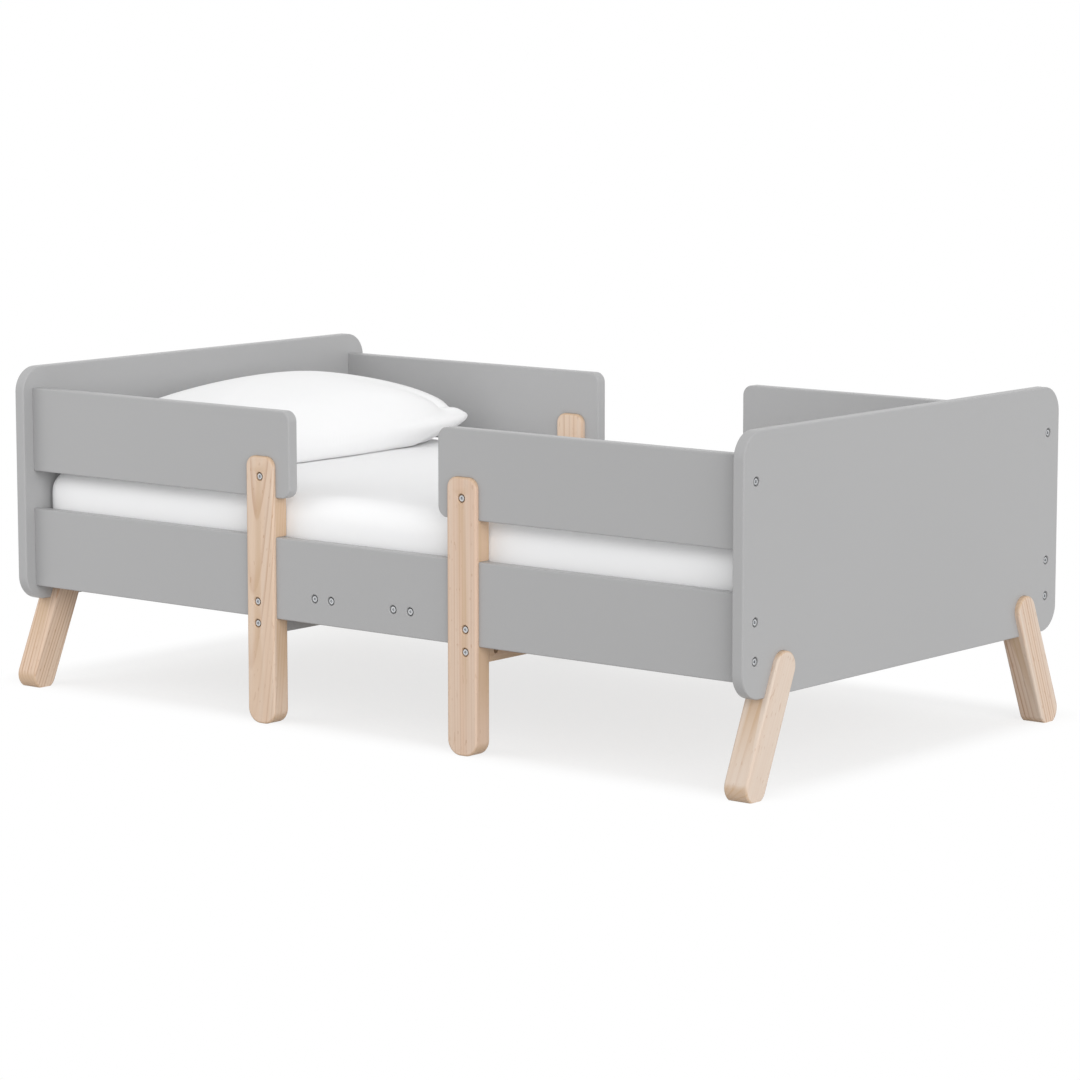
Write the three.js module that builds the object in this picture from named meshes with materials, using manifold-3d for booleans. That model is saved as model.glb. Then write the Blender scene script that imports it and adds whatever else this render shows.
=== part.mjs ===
// Toddler bed: two painted end panels on splayed wooden legs, side rails, four guard rails,
// four wooden posts that hold the guards and the middle of the bed, a slotted plywood deck on
// beams and ledgers, a mattress and a pillow.
// Millimetres. X runs from the head to the foot, Y from the front to the back, Z up.
// The origin is on the floor, under the middle of the bed.

import * as THREE from 'three';
import { mergeVertices } from 'three/addons/utils/BufferGeometryUtils.js';
import Module from 'manifold-3d';

const wasm = await Module();
wasm.setup();

// ---------------------------------------------------------------- driving sizes

const fit = 0.3;                  // gap left between mating faces

// End panels
const bedLength = 1371;           // between the outer faces of the end panels
const bedWidth = 775;
const floorGap = 134.5;           // floor to the panels' lower edge
const panelHeight = 358;
const panelThickness = 18;
const panelCorner = 38;
const boardRound = 2;             // rounding along the edges of the painted boards

// Side rails and guard rails
const railThickness = 18;
const railSetback = 19.5;         // panel's front edge to the rail's outer face
const railRise = 22;              // panel's lower edge to the rail's lower edge
const railHeight = 119.5;
const guardGap = 57.5;            // side rail to guard rail
const guardHeight = 127;
const guardCorner = 16;           // at the guards' free ends
const guardOverhangHead = 27;     // free end of a guard at the head past its post
const guardOverhangFoot = 21;     // the same at the foot

// Posts
const postSpacing = 383;          // between the middles of the two posts on a side
const postWidth = 53;
const postDepth = 30;
const postProud = 6;              // how far a post stands out of the rail's outer face
const postTopCorner = 16;
const postFootCorner = 22;
const postTongue = 8;             // wood left on each side of the slot for the guard
const postLap = 59.5;             // how far a post climbs over the guard
const woodRound = 3;              // rounding along the edges of posts and legs

// Legs
const legWidth = 44.5;
const legDepth = 38.5;
const legProud = 7.5;             // how far a leg stands out of the panel's outer face
const legTongue = 10;             // thickness of the leg's outer tongue
const legLap = 59.5;              // how far a leg climbs over the panel
const legSplay = 23;              // degrees from upright
const footInset = 23.7;           // panel's front edge to the middle of the foot
const soleCut = 4;                // depth of the flat under each leg's round foot

// Deck and what carries it
const deckDrop = 63.5;            // side rail's upper edge to the deck's upper face
const deckThickness = 9;
const deckPlay = 1;               // deck's edges to the rails, the panels and the other half
const deckSlots = 5;
const deckSlotPitch = 110;
const deckSlotWidth = 40;
const deckSlotMargin = 75;        // deck's long edge to the end of a slot
const crossThickness = 38;
const crossHeight = 71;
const crossOffset = 6;            // cross member's middle outwards of the post's middle
const beamSpacing = 150;
const beamWidth = 60;
const beamThickness = 20;
const ledgerWidth = 18;
const ledgerHeight = 20;
const woodChamfer = 1.5;          // along the edges of the hidden timber

// Bolts and the bores they go through
const headRadius = 4.5;
const headHeight = 4.5;
const headSink = 1.2;             // bolt head below the surface
const sinkRadius = 6.5;           // of the round recess that a head lies in
const shankRadius = 3;
const socketRadius = 2.2;
const socketDepth = 2.5;
const boltBite = 36;              // how far a bolt goes into the end of what it holds
const guardEndBolt = 92;          // above the guard's lower edge
const railBoltLow = 30;           // above the side rail's lower edge
const railBoltHigh = 82.5;
const postGuardBolt = 30;         // above the guard's lower edge
const crossBoltLow = 15.5;        // above the cross member's lower edge
const crossBoltHigh = 47.5;
const beamBoltSpacing = 32;
const nutRadius = 5;              // bores for the cross nuts in the cross members
const nutDepth = 24;
const nutSetback = 21;            // cross member's end to the middle of the bore

// Mattress and pillow
const mattressThickness = 124;
const mattressEndPlay = 6.5;      // to each end panel
const mattressSidePlay = 1;       // to the posts
const mattressCorner = 60;
const mattressRound = 24;
const pillowWidth = 300;
const pillowThickness = 130;
const pillowSeam = 42;            // height of the seam above the mattress
const pillowEndPlay = 5;          // to the headboard
const pillowSidePlay = 25;        // to the mattress's long edges
const pillowPinch = 0.06;         // share by which the sides draw in between the corners

// ---------------------------------------------------------------- levels and planes

const halfLength = bedLength / 2;
const halfWidth = bedWidth / 2;
const innerEnd = halfLength - panelThickness;
const railBottom = floorGap + railRise;
const railTop = railBottom + railHeight;
const guardBottom = railTop + guardGap;
const guardTop = guardBottom + guardHeight;
const railOuter = halfWidth - railSetback;
const railInner = railOuter - railThickness;
const railMiddle = (railOuter + railInner) / 2;
const postOuter = railOuter + postProud;
const postInner = postOuter - postDepth;
const postX = postSpacing / 2;
const deckTop = railTop - deckDrop;
const beamTop = deckTop - deckThickness - fit;
const crossX = postX + crossOffset;
const crossBottom = beamTop - crossHeight;
const crossEnd = postInner - fit;
const legOuter = halfLength + legProud;
const mattressBottom = deckTop + fit;
const mattressHalfLength = innerEnd - mattressEndPlay;
const mattressHalfWidth = postInner - mattressSidePlay;
const pillowBottom = mattressBottom + mattressThickness + fit;
const clear = bedWidth;           // longer than any cut has to be
const roundSides = 8;             // facets round a bolt or a bore
const arcSteps = 8;               // facets along each arc of a board's outline

const sides = { front: -1, back: 1 };
const ends = { head: -1, foot: 1 };

// ---------------------------------------------------------------- finishes

const grayPaint = () => new THREE.MeshStandardMaterial({ color: 0xadadaf, roughness: 0.45 });
const pine = () => new THREE.MeshStandardMaterial({ color: 0xd6bea8, roughness: 0.6 });
const plywood = () => new THREE.MeshStandardMaterial({ color: 0xc9ad87, roughness: 0.7 });
const zinc = () => new THREE.MeshStandardMaterial({ color: 0xb9bbbd, roughness: 0.3, metalness: 1 });
const cotton = () => new THREE.MeshStandardMaterial({ color: 0xf2f2f2, roughness: 0.9 });

// ---------------------------------------------------------------- shapes and solids

// A rectangle with a radius for each corner, square where that is 0: the end's lower and upper
// corner, then the start's upper and lower one.
function cornerOutline(x0, x1, y0, y1, [endLow, endHigh, startHigh, startLow]) {
  const shape = new THREE.Shape();
  const quarter = Math.PI / 2;
  const corners = [
    [x1 - endLow, y0 + endLow, endLow],
    [x1 - endHigh, y1 - endHigh, endHigh],
    [x0 + startHigh, y1 - startHigh, startHigh],
    [x0 + startLow, y0 + startLow, startLow],
  ];
  corners.forEach(([x, y, radius], i) => {
    if (radius > 0) shape.absarc(x, y, radius, (i - 1) * quarter, i * quarter);
    else if (i > 0) shape.lineTo(x, y);
    else shape.moveTo(x, y);
  });
  shape.closePath();
  return shape;
}

const alike = (radius) => Array(4).fill(radius);

// A bar with round ends, drawn round the line from its lower end's middle to its upper end's.
function roundEndedOutline(low, high, radius) {
  const shape = new THREE.Shape();
  const along = Math.atan2(high.y - low.y, high.x - low.x);
  shape.absarc(high.x, high.y, radius, along - Math.PI / 2, along + Math.PI / 2);
  shape.absarc(low.x, low.y, radius, along + Math.PI / 2, along + 1.5 * Math.PI);
  shape.closePath();
  return shape;
}

// An outline made into a board: centred through its thickness, its long edges rounded.
function board(outline, thickness, rounding, roundSteps = 1) {
  const geometry = new THREE.ExtrudeGeometry(outline, {
    depth: thickness - 2 * rounding,
    bevelEnabled: rounding > 0,
    bevelThickness: rounding,
    bevelSize: rounding,
    bevelOffset: -rounding,
    bevelSegments: roundSteps,
    curveSegments: arcSteps / 2,    // an arc is drawn with two steps for each of these
  });
  return geometry.translate(0, 0, rounding - thickness / 2);
}

// Turns that stand a flat outline up: along the bed (its Y becomes Z), or across the bed.
const alongBed = new THREE.Matrix4().makeBasis(
  new THREE.Vector3(1, 0, 0), new THREE.Vector3(0, 0, 1), new THREE.Vector3(0, -1, 0));
const acrossBed = new THREE.Matrix4().makeBasis(
  new THREE.Vector3(0, 1, 0), new THREE.Vector3(0, 0, 1), new THREE.Vector3(1, 0, 0));

function solidOf(geometry) {
  const bare = new THREE.BufferGeometry();
  bare.setAttribute('position', geometry.getAttribute('position'));
  bare.setIndex(geometry.index);
  const merged = mergeVertices(bare, 1e-4);
  return new wasm.Manifold(new wasm.Mesh({
    numProp: 3,
    vertProperties: new Float32Array(merged.getAttribute('position').array),
    triVerts: new Uint32Array(merged.index.array),
  }));
}

function geometryOf(solid) {
  const { vertProperties, triVerts } = solid.getMesh();
  const geometry = new THREE.BufferGeometry();
  geometry.setAttribute('position', new THREE.BufferAttribute(new Float32Array(vertProperties), 3));
  geometry.setIndex(new THREE.BufferAttribute(new Uint32Array(triVerts), 1));
  return geometry;
}

// A box between two values on each axis, given in either order.
function block([x0, x1], [y0, y1], [z0, z1]) {
  const geometry = new THREE.BoxGeometry(Math.abs(x1 - x0), Math.abs(y1 - y0), Math.abs(z1 - z0));
  return solidOf(geometry.translate((x0 + x1) / 2, (y0 + y1) / 2, (z0 + z1) / 2));
}

// A round bore that goes in from a point on a surface, against the outward direction.
function bore(point, outward, radius, depth) {
  const geometry = new THREE.CylinderGeometry(radius, radius, depth + 1, roundSides);
  geometry.translate(0, (1 - depth) / 2, 0);
  const turn = new THREE.Quaternion().setFromUnitVectors(new THREE.Vector3(0, 1, 0), outward);
  geometry.applyQuaternion(turn);
  return solidOf(geometry.translate(point.x, point.y, point.z));
}

// ---------------------------------------------------------------- pieces

const pieces = new Map();         // name to { solid, material }

function addPiece(name, solid, material) {
  pieces.set(name, { solid, material });
}

function cutPiece(name, cutter) {
  const piece = pieces.get(name);
  piece.solid = piece.solid.subtract(cutter);
}

// The outline of a leg's side, and of the pocket it lies in when grown by the fit.
function legOutline(side, grow) {
  const radius = legWidth / 2;
  const rise = floorGap + legLap + soleCut - legWidth;
  const lowY = halfWidth - footInset;
  const highY = lowY - rise * Math.tan(THREE.MathUtils.degToRad(legSplay));
  const low = new THREE.Vector2(side * lowY, radius - soleCut);
  const high = new THREE.Vector2(side * highY, low.y + rise);
  return roundEndedOutline(low, high, radius + grow);
}

function postOutline(end, grow) {
  const half = postWidth / 2 + grow;
  const foot = postFootCorner + grow;
  const top = postTopCorner + grow;
  return cornerOutline(
    end * postX - half, end * postX + half, -grow, guardBottom + postLap + grow, [foot, top, top, foot]);
}

const belowFloor = block([-bedLength, bedLength], [-bedWidth, bedWidth], [-clear, 0]);

function makePanel(end) {
  const outline = cornerOutline(
    -halfWidth, halfWidth, floorGap, floorGap + panelHeight, alike(panelCorner));
  const geometry = board(outline, panelThickness, boardRound).applyMatrix4(acrossBed);
  let solid = solidOf(geometry.translate(end * (halfLength - panelThickness / 2), 0, 0));
  for (const side of Object.values(sides)) {
    const pocketFloor = halfLength - (legTongue - legProud) - fit;
    const pocket = board(legOutline(side, fit), clear, 0).applyMatrix4(acrossBed);
    solid = solid.subtract(solidOf(pocket.translate(end * (pocketFloor + clear / 2), 0, 0)));
  }
  return solid;
}

function makeLeg(end, side) {
  const geometry = board(legOutline(side, 0), legDepth, woodRound).applyMatrix4(acrossBed);
  const solid = solidOf(geometry.translate(end * (legOuter - legDepth / 2), 0, 0));
  const slot = block(
    [end * (legOuter - legTongue), end * (innerEnd - fit)],
    [-bedWidth, bedWidth],
    [floorGap - fit, clear]);
  return solid.subtract(slot).subtract(belowFloor);
}

function makeSideRail(side) {
  const reach = innerEnd - fit;
  const outline = cornerOutline(-reach, reach, railBottom, railTop, alike(0));
  const geometry = board(outline, railThickness, boardRound).applyMatrix4(alongBed);
  let solid = solidOf(geometry.translate(0, side * railMiddle, 0));
  for (const end of Object.values(ends)) {
    const halfPocket = postWidth / 2 + fit;
    solid = solid.subtract(block(
      [end * postX - halfPocket, end * postX + halfPocket],
      [side * (postOuter - postTongue - fit), side * (postOuter + clear)],
      [0, clear]));
  }
  return solid;
}

function makeGuard(end, side) {
  const overhang = end > 0 ? guardOverhangFoot : guardOverhangHead;
  const free = end * (postX - postWidth / 2 - overhang);
  const fixed = end * (innerEnd - fit);
  const corners = end > 0 ? [0, 0, guardCorner, guardCorner] : [guardCorner, guardCorner, 0, 0];
  const outline = cornerOutline(
    Math.min(free, fixed), Math.max(free, fixed), guardBottom, guardTop, corners);
  const geometry = board(outline, railThickness, boardRound).applyMatrix4(alongBed);
  const solid = solidOf(geometry.translate(0, side * railMiddle, 0));
  const pocket = board(postOutline(end, fit), clear, 0).applyMatrix4(alongBed);
  const outerPocket = pocket.clone().translate(0, side * (postOuter - postTongue - fit + clear / 2), 0);
  const innerPocket = pocket.clone().translate(0, side * (postInner + postTongue + fit - clear / 2), 0);
  return solid.subtract(solidOf(outerPocket)).subtract(solidOf(innerPocket));
}

function makePost(end, side) {
  const geometry = board(postOutline(end, 0), postDepth, woodRound).applyMatrix4(alongBed);
  const solid = solidOf(geometry.translate(0, side * (postOuter + postInner) / 2, 0));
  const across = [end * postX - postWidth, end * postX + postWidth];
  const guardSlot = block(
    across,
    [side * (postOuter - postTongue), side * (postInner + postTongue)],
    [guardBottom - fit, clear]);
  const railNotch = block(
    across,
    [side * (postOuter - postTongue), side * (postInner - clear)],
    [railBottom - fit, railTop + fit]);
  return solid.subtract(guardSlot).subtract(railNotch);
}

// A cross member lies behind two posts, with a lip over them that reaches the side rails.
function makeCrossMember(end) {
  const lipEnd = railInner - fit;
  const outline = new THREE.Shape([
    new THREE.Vector2(-crossEnd, crossBottom),
    new THREE.Vector2(crossEnd, crossBottom),
    new THREE.Vector2(crossEnd, railBottom),
    new THREE.Vector2(lipEnd, railBottom),
    new THREE.Vector2(lipEnd, beamTop),
    new THREE.Vector2(-lipEnd, beamTop),
    new THREE.Vector2(-lipEnd, railBottom),
    new THREE.Vector2(-crossEnd, railBottom),
  ]);
  const geometry = board(outline, crossThickness, woodChamfer).applyMatrix4(acrossBed);
  let solid = solidOf(geometry.translate(end * crossX, 0, 0));
  const outward = new THREE.Vector3(end, 0, 0);
  for (const side of Object.values(sides)) {
    for (const level of [crossBoltLow, crossBoltHigh]) {
      const mouth = new THREE.Vector3(
        end * (crossX + crossThickness / 2), side * (crossEnd - nutSetback), crossBottom + level);
      solid = solid.subtract(bore(mouth, outward, nutRadius, nutDepth));
    }
  }
  return solid;
}

// A bar of hidden timber that lies flat, its upper face at the level of the deck's underside.
function makeFlatBar(xRange, yRange, thickness) {
  const [x0, x1] = [...xRange].sort((a, b) => a - b);
  const [y0, y1] = [...yRange].sort((a, b) => a - b);
  const outline = cornerOutline(x0, x1, y0, y1, alike(0));
  const geometry = board(outline, thickness, woodChamfer);
  return solidOf(geometry.translate(0, 0, beamTop - thickness / 2));
}

function makeCentreBeam(end) {
  const middle = end * beamSpacing / 2;
  const reach = railInner - fit;
  return makeFlatBar([middle - beamWidth / 2, middle + beamWidth / 2], [-reach, reach], beamThickness);
}

function makeLedger(end, side) {
  const inner = crossX + crossThickness / 2 + fit;
  const back = railInner - fit;
  return makeFlatBar(
    [end * inner, end * (innerEnd - fit)], [side * back, side * (back - ledgerWidth)], ledgerHeight);
}

function makeDeckBoard(end) {
  const inner = deckPlay / 2;
  const outer = innerEnd - deckPlay;
  const reach = railInner - deckPlay;
  const outline = cornerOutline(
    Math.min(end * inner, end * outer), Math.max(end * inner, end * outer), -reach, reach,
    alike(deckThickness));
  const middle = end * (inner + outer) / 2;
  const slotEnd = reach - deckSlotMargin - deckSlotWidth / 2;
  for (let i = 0; i < deckSlots; i += 1) {
    const x = middle + (i - (deckSlots - 1) / 2) * deckSlotPitch;
    outline.holes.push(roundEndedOutline(
      new THREE.Vector2(x, -slotEnd), new THREE.Vector2(x, slotEnd), deckSlotWidth / 2));
  }
  const geometry = board(outline, deckThickness, 0);
  return solidOf(geometry.translate(0, 0, deckTop - deckThickness / 2));
}

function makeMattress() {
  const outline = cornerOutline(
    -mattressHalfLength, mattressHalfLength, -mattressHalfWidth, mattressHalfWidth,
    alike(mattressCorner));
  const geometry = board(outline, mattressThickness, mattressRound, 3);
  return solidOf(geometry.translate(0, 0, mattressBottom + mattressThickness / 2));
}

// Two bulging sheets that meet in a seam all round: u runs along the bed and v across it.
function makePillow() {
  const steps = 14;
  const halfX = pillowWidth / 2;
  const halfY = mattressHalfWidth - pillowSidePlay;
  const middleX = -innerEnd + pillowEndPlay + halfX;
  const points = [];
  const faces = [];
  const row = steps + 1;
  for (const upper of [true, false]) {
    for (let j = 0; j <= steps; j += 1) {
      for (let i = 0; i <= steps; i += 1) {
        const u = Math.sin((i / steps - 0.5) * Math.PI);
        const v = Math.sin((j / steps - 0.5) * Math.PI);
        const bulge = Math.sqrt(Math.max(0, (1 - u ** 2) * (1 - v ** 4)));
        const x = middleX + halfX * u * (1 - pillowPinch * (1 - v ** 2));
        const y = halfY * v * (1 - pillowPinch * (1 - u ** 2));
        const rise = upper
          ? (pillowThickness - pillowSeam) * bulge
          : -pillowSeam * Math.min(1, 1.8 * bulge);
        points.push(x, y, pillowBottom + pillowSeam + rise);
      }
    }
  }
  for (const sheet of [0, 1]) {
    for (let j = 0; j < steps; j += 1) {
      for (let i = 0; i < steps; i += 1) {
        const a = sheet * row * row + j * row + i;
        const quad = [a, a + 1, a + row + 1, a + row];
        if (sheet === 1) quad.reverse();
        faces.push(quad[0], quad[1], quad[2], quad[0], quad[2], quad[3]);
      }
    }
  }
  const geometry = new THREE.BufferGeometry();
  geometry.setAttribute('position', new THREE.Float32BufferAttribute(points, 3));
  geometry.setIndex(faces);
  return solidOf(geometry);
}

addPiece('headboard', makePanel(ends.head), grayPaint);
addPiece('footboard', makePanel(ends.foot), grayPaint);
for (const [sideName, side] of Object.entries(sides)) {
  addPiece(`side_rail_${sideName}`, makeSideRail(side), grayPaint);
}
for (const [endName, end] of Object.entries(ends)) {
  for (const [sideName, side] of Object.entries(sides)) {
    addPiece(`guard_${sideName}_${endName}`, makeGuard(end, side), grayPaint);
    addPiece(`post_${sideName}_${endName}`, makePost(end, side), pine);
    addPiece(`leg_${sideName}_${endName}`, makeLeg(end, side), pine);
    addPiece(`ledger_${sideName}_${endName}`, makeLedger(end, side), pine);
  }
  addPiece(`centre_beam_${endName}`, makeCentreBeam(end), pine);
  addPiece(`deck_board_${endName}`, makeDeckBoard(end), plywood);
}
addPiece('cross_member_head', makeCrossMember(ends.head), grayPaint);
addPiece('cross_member_foot', makeCrossMember(ends.foot), pine);
addPiece('mattress', makeMattress(), cotton);
addPiece('pillow', makePillow(), cotton);

// ---------------------------------------------------------------- bolts

// A bolt's half section: a sunk socket, the head and the shank, and a nut head if it has one.
function boltProfile(length, nutHeight) {
  const tip = -length;
  const points = nutHeight > 0
    ? [[0, tip], [headRadius, tip], [headRadius, tip + nutHeight], [shankRadius, tip + nutHeight]]
    : [[0, tip], [shankRadius, tip]];
  points.push(
    [shankRadius, -headHeight], [headRadius, -headHeight], [headRadius, 0],
    [socketRadius, 0], [socketRadius, -socketDepth], [0, -socketDepth]);
  return points.map(([x, y]) => new THREE.Vector2(x, y));
}

const bolts = [];                 // { name, point, outward, length, nutHeight }

// Puts a bolt in from a surface, and bores every piece that it passes through.
function addBolt(name, point, outward, length, through, nutHeight = 0) {
  bolts.push({ name, point, outward, length, nutHeight });
  for (const piece of through) {
    cutPiece(piece, bore(point, outward, shankRadius + fit, length + 2 * headSink + fit));
    cutPiece(piece, bore(point, outward, sinkRadius, headSink + headHeight + fit));
  }
  if (nutHeight > 0) {
    const far = point.clone().addScaledVector(outward, -(length + 2 * headSink));
    const inward = outward.clone().negate();
    for (const piece of through) {
      cutPiece(piece, bore(far, inward, sinkRadius, headSink + nutHeight + fit));
    }
  }
}

for (const [endName, end] of Object.entries(ends)) {
  const panel = `${endName}board`;
  const outEnd = new THREE.Vector3(end, 0, 0);
  for (const [sideName, side] of Object.entries(sides)) {
    const outSide = new THREE.Vector3(0, side, 0);
    const rail = `side_rail_${sideName}`;
    const guard = `guard_${sideName}_${endName}`;
    const post = `post_${sideName}_${endName}`;
    const cross = `cross_member_${endName}`;
    const beam = `centre_beam_${endName}`;

    const endBolts = {
      guard: guardBottom + guardEndBolt,
      rail_high: railBottom + railBoltHigh,
      rail_low: railBottom + railBoltLow,
    };
    for (const [place, level] of Object.entries(endBolts)) {
      const point = new THREE.Vector3(end * halfLength, side * railMiddle, level);
      addBolt(`bolt_${panel}_${sideName}_${place}`, point, outEnd, panelThickness + boltBite,
        [panel, rail, guard]);
    }

    const atGuard = new THREE.Vector3(end * postX, side * postOuter, guardBottom + postGuardBolt);
    addBolt(`bolt_${post}_guard`, atGuard, outSide, postDepth - 2 * headSink, [post, guard],
      headHeight);

    const crossLevels = { high: crossBottom + crossBoltHigh, low: crossBottom + crossBoltLow };
    for (const [place, level] of Object.entries(crossLevels)) {
      const point = new THREE.Vector3(end * crossX, side * postOuter, level);
      addBolt(`bolt_${post}_${place}`, point, outSide, postDepth + boltBite, [post, rail, cross]);
    }

    for (const [place, shift] of Object.entries({ inner: -0.5, outer: 0.5 })) {
      const x = end * (beamSpacing / 2 + shift * beamBoltSpacing);
      const point = new THREE.Vector3(x, side * railOuter, beamTop - beamThickness / 2);
      addBolt(`bolt_${beam}_${sideName}_${place}`, point, outSide, railThickness + boltBite,
        [rail, beam]);
    }
  }
}

// ---------------------------------------------------------------- the bed

// Each piece is held about its own middle, and its mesh's position puts it in the bed.
function meshOf(name, { solid, material }) {
  const geometry = geometryOf(solid);
  geometry.computeBoundingBox();
  const middle = geometry.boundingBox.getCenter(new THREE.Vector3());
  geometry.translate(-middle.x, -middle.y, -middle.z);
  geometry.computeVertexNormals();
  const mesh = new THREE.Mesh(geometry, material());
  mesh.name = name;
  mesh.position.copy(middle);
  return mesh;
}

function boltMesh({ name, point, outward, length, nutHeight }) {
  const mesh = new THREE.Mesh(new THREE.LatheGeometry(boltProfile(length, nutHeight), roundSides), zinc());
  mesh.name = name;
  mesh.quaternion.setFromUnitVectors(new THREE.Vector3(0, 1, 0), outward);
  mesh.position.copy(point).addScaledVector(outward, -headSink);
  return mesh;
}

const bed = new THREE.Group();
const timber = new THREE.Group();
const fasteners = new THREE.Group();
const bedding = new THREE.Group();
bed.add(timber, fasteners, bedding);
for (const [name, piece] of pieces) {
  const group = piece.material === cotton ? bedding : timber;
  group.add(meshOf(name, piece));
}
for (const bolt of bolts) fasteners.add(boltMesh(bolt));

export default bed;
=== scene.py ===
import math

import bpy
import numpy as np
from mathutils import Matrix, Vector


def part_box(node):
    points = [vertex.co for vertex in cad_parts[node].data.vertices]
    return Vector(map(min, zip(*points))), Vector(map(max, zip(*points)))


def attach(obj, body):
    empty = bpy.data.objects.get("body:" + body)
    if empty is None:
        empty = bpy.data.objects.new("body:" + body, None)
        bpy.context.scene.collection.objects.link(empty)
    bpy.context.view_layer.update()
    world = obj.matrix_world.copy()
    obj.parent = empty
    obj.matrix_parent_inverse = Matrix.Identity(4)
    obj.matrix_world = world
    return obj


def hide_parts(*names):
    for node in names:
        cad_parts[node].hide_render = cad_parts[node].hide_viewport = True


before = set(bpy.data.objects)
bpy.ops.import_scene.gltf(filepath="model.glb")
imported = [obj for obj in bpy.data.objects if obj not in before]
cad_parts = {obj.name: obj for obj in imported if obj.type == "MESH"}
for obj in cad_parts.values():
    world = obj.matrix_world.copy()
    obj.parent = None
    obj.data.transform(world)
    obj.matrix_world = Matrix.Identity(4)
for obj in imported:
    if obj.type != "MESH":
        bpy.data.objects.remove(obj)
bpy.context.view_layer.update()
scene = bpy.context.scene
sides = {"front": -1, "back": 1}
ends = {"head": -1, "foot": 1}
axisX, axisY, axisZ = np.eye(3)


# Wires: what goes into the shaders

class Wire:
    # One output of a node. Arithmetic on wires adds Math nodes, and node() adds a node of any kind.
    def __init__(self, tree, socket):
        self.tree = tree
        self.socket = socket

    def node(self, kind, settings, inputs, output=0):
        made = self.tree.nodes.new(kind)
        for name, value in settings.items():
            setattr(made, name, value)
        for name, value in inputs.items():
            if isinstance(value, Wire):
                self.tree.links.new(value.socket, made.inputs[name])
            else:
                made.inputs[name].default_value = value
        return Wire(self.tree, made.outputs[output])

    def math(self, operation, *others):
        return self.node("ShaderNodeMath", {"operation": operation}, dict(enumerate((self, *others))))

    def __add__(self, other):
        return self.math("ADD", other)

    def __sub__(self, other):
        return self.math("SUBTRACT", other)

    def __mul__(self, other):
        return self.math("MULTIPLY", other)

    def __truediv__(self, other):
        return self.math("DIVIDE", other)

    def __rsub__(self, other):
        return self.node("ShaderNodeMath", {"operation": "SUBTRACT"}, {0: other, 1: self})

    __radd__ = __add__
    __rmul__ = __mul__

    def vector(self, operation, *others):
        return self.node("ShaderNodeVectorMath", {"operation": operation}, dict(enumerate((self, *others))))

    def scaled(self, factors):
        return self.vector("MULTIPLY", factors)

    def length(self):
        return self.node("ShaderNodeVectorMath", {"operation": "LENGTH"}, {0: self}, 1)

    def part(self, number):
        return self.node("ShaderNodeSeparateXYZ", {}, {0: self}, number)

    def attribute(self, name, output):
        # output 1 reads a vector and output 2 a number
        return self.node("ShaderNodeAttribute", {"attribute_name": name}, {}, output)

    def noise(self, scale, detail=2.0):
        return self.node("ShaderNodeTexNoise", {}, {"Vector": self, "Scale": scale, "Detail": detail})

    def between(self, low, high):
        # 0 below low and 1 above high, with a smooth way between them
        wanted = {"Value": self, "From Min": low, "From Max": high}
        return self.node("ShaderNodeMapRange", {"interpolation_type": "SMOOTHSTEP"}, wanted)

    def mix(self, first, second):
        # the first colour where this wire is 0, and the second where it is 1
        return self.node("ShaderNodeMix", {"data_type": "RGBA"}, {0: self, 6: first, 7: second}, 2)

    def bump(self, strength, distance):
        return self.node("ShaderNodeBump", {}, {"Strength": strength, "Distance": distance, "Height": self})

    def seen(self):
        # 1 for what the camera sees, also in a reflection or through glass, and 0 for light that bounces
        rays = ("Is Camera Ray", "Is Glossy Ray", "Is Transmission Ray")
        straight, glossy, glass = (self.node("ShaderNodeLightPath", {}, {}, ray) for ray in rays)
        return straight.math("MAXIMUM", glossy).math("MAXIMUM", glass)

    def feed(self, node, name):
        self.tree.links.new(self.socket, node.inputs[name])


def newFinish(name, constants):
    # A material, its shader, and the wire of the object coordinates
    material = bpy.data.materials.new(name)
    material.use_nodes = True
    shader = material.node_tree.nodes["Principled BSDF"]
    for socket, value in constants.items():
        shader.inputs[socket].default_value = value
    place = Wire(material.node_tree, shader.outputs[0]).node("ShaderNodeTexCoord", {}, {}, "Object")
    return material, shader, place


paint = {
    "light": (0.385, 0.385, 0.388, 1), "dark": (0.375, 0.375, 0.378, 1), "specular": 0.5,
    "roughness": 0.33, "roughnessChange": 0.06, "clouds": 2.5,
    "peel": 420.0, "bumpStrength": 0.12, "bumpDepth": 0.0002,
}


def grayPaint():
    material, shader, place = newFinish("grayPaint", {"Specular IOR Level": paint["specular"]})
    clouds = place.noise(paint["clouds"], 3.0)
    clouds.mix(paint["light"], paint["dark"]).feed(shader, "Base Color")
    (clouds * paint["roughnessChange"] + paint["roughness"]).feed(shader, "Roughness")
    place.noise(paint["peel"], 1.0).bump(paint["bumpStrength"], paint["bumpDepth"]).feed(shader, "Normal")
    return material


pine = {
    "early": (0.690, 0.535, 0.410, 1), "warm": (0.660, 0.480, 0.365, 1), "pale": (0.690, 0.580, 0.490, 1),
    "late": (0.470, 0.290, 0.185, 1), "end": (0.560, 0.395, 0.260, 1), "specular": 0.35,
    "ringWidth": 0.0050, "wander": 0.010, "darkens": (0.45, 0.90), "clears": (0.90, 1.0),  # shares of a ring
    "wanderScale": (9.0, 9.0, 1.6), "bandScale": (75.0, 75.0, 1.0), "streakScale": (170.0, 170.0, 2.2),
    "fibreScale": (900.0, 900.0, 14.0), "fleckScale": (330.0, 330.0, 90.0),
    "lineWeight": 0.9, "lineLeast": 0.35, "fibreWeight": 0.20, "fleckWeight": 0.35, "bandWeight": 0.5,
    "roughness": 0.52, "bumpStrength": 0.12, "bumpDepth": 0.0002,
}


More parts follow.
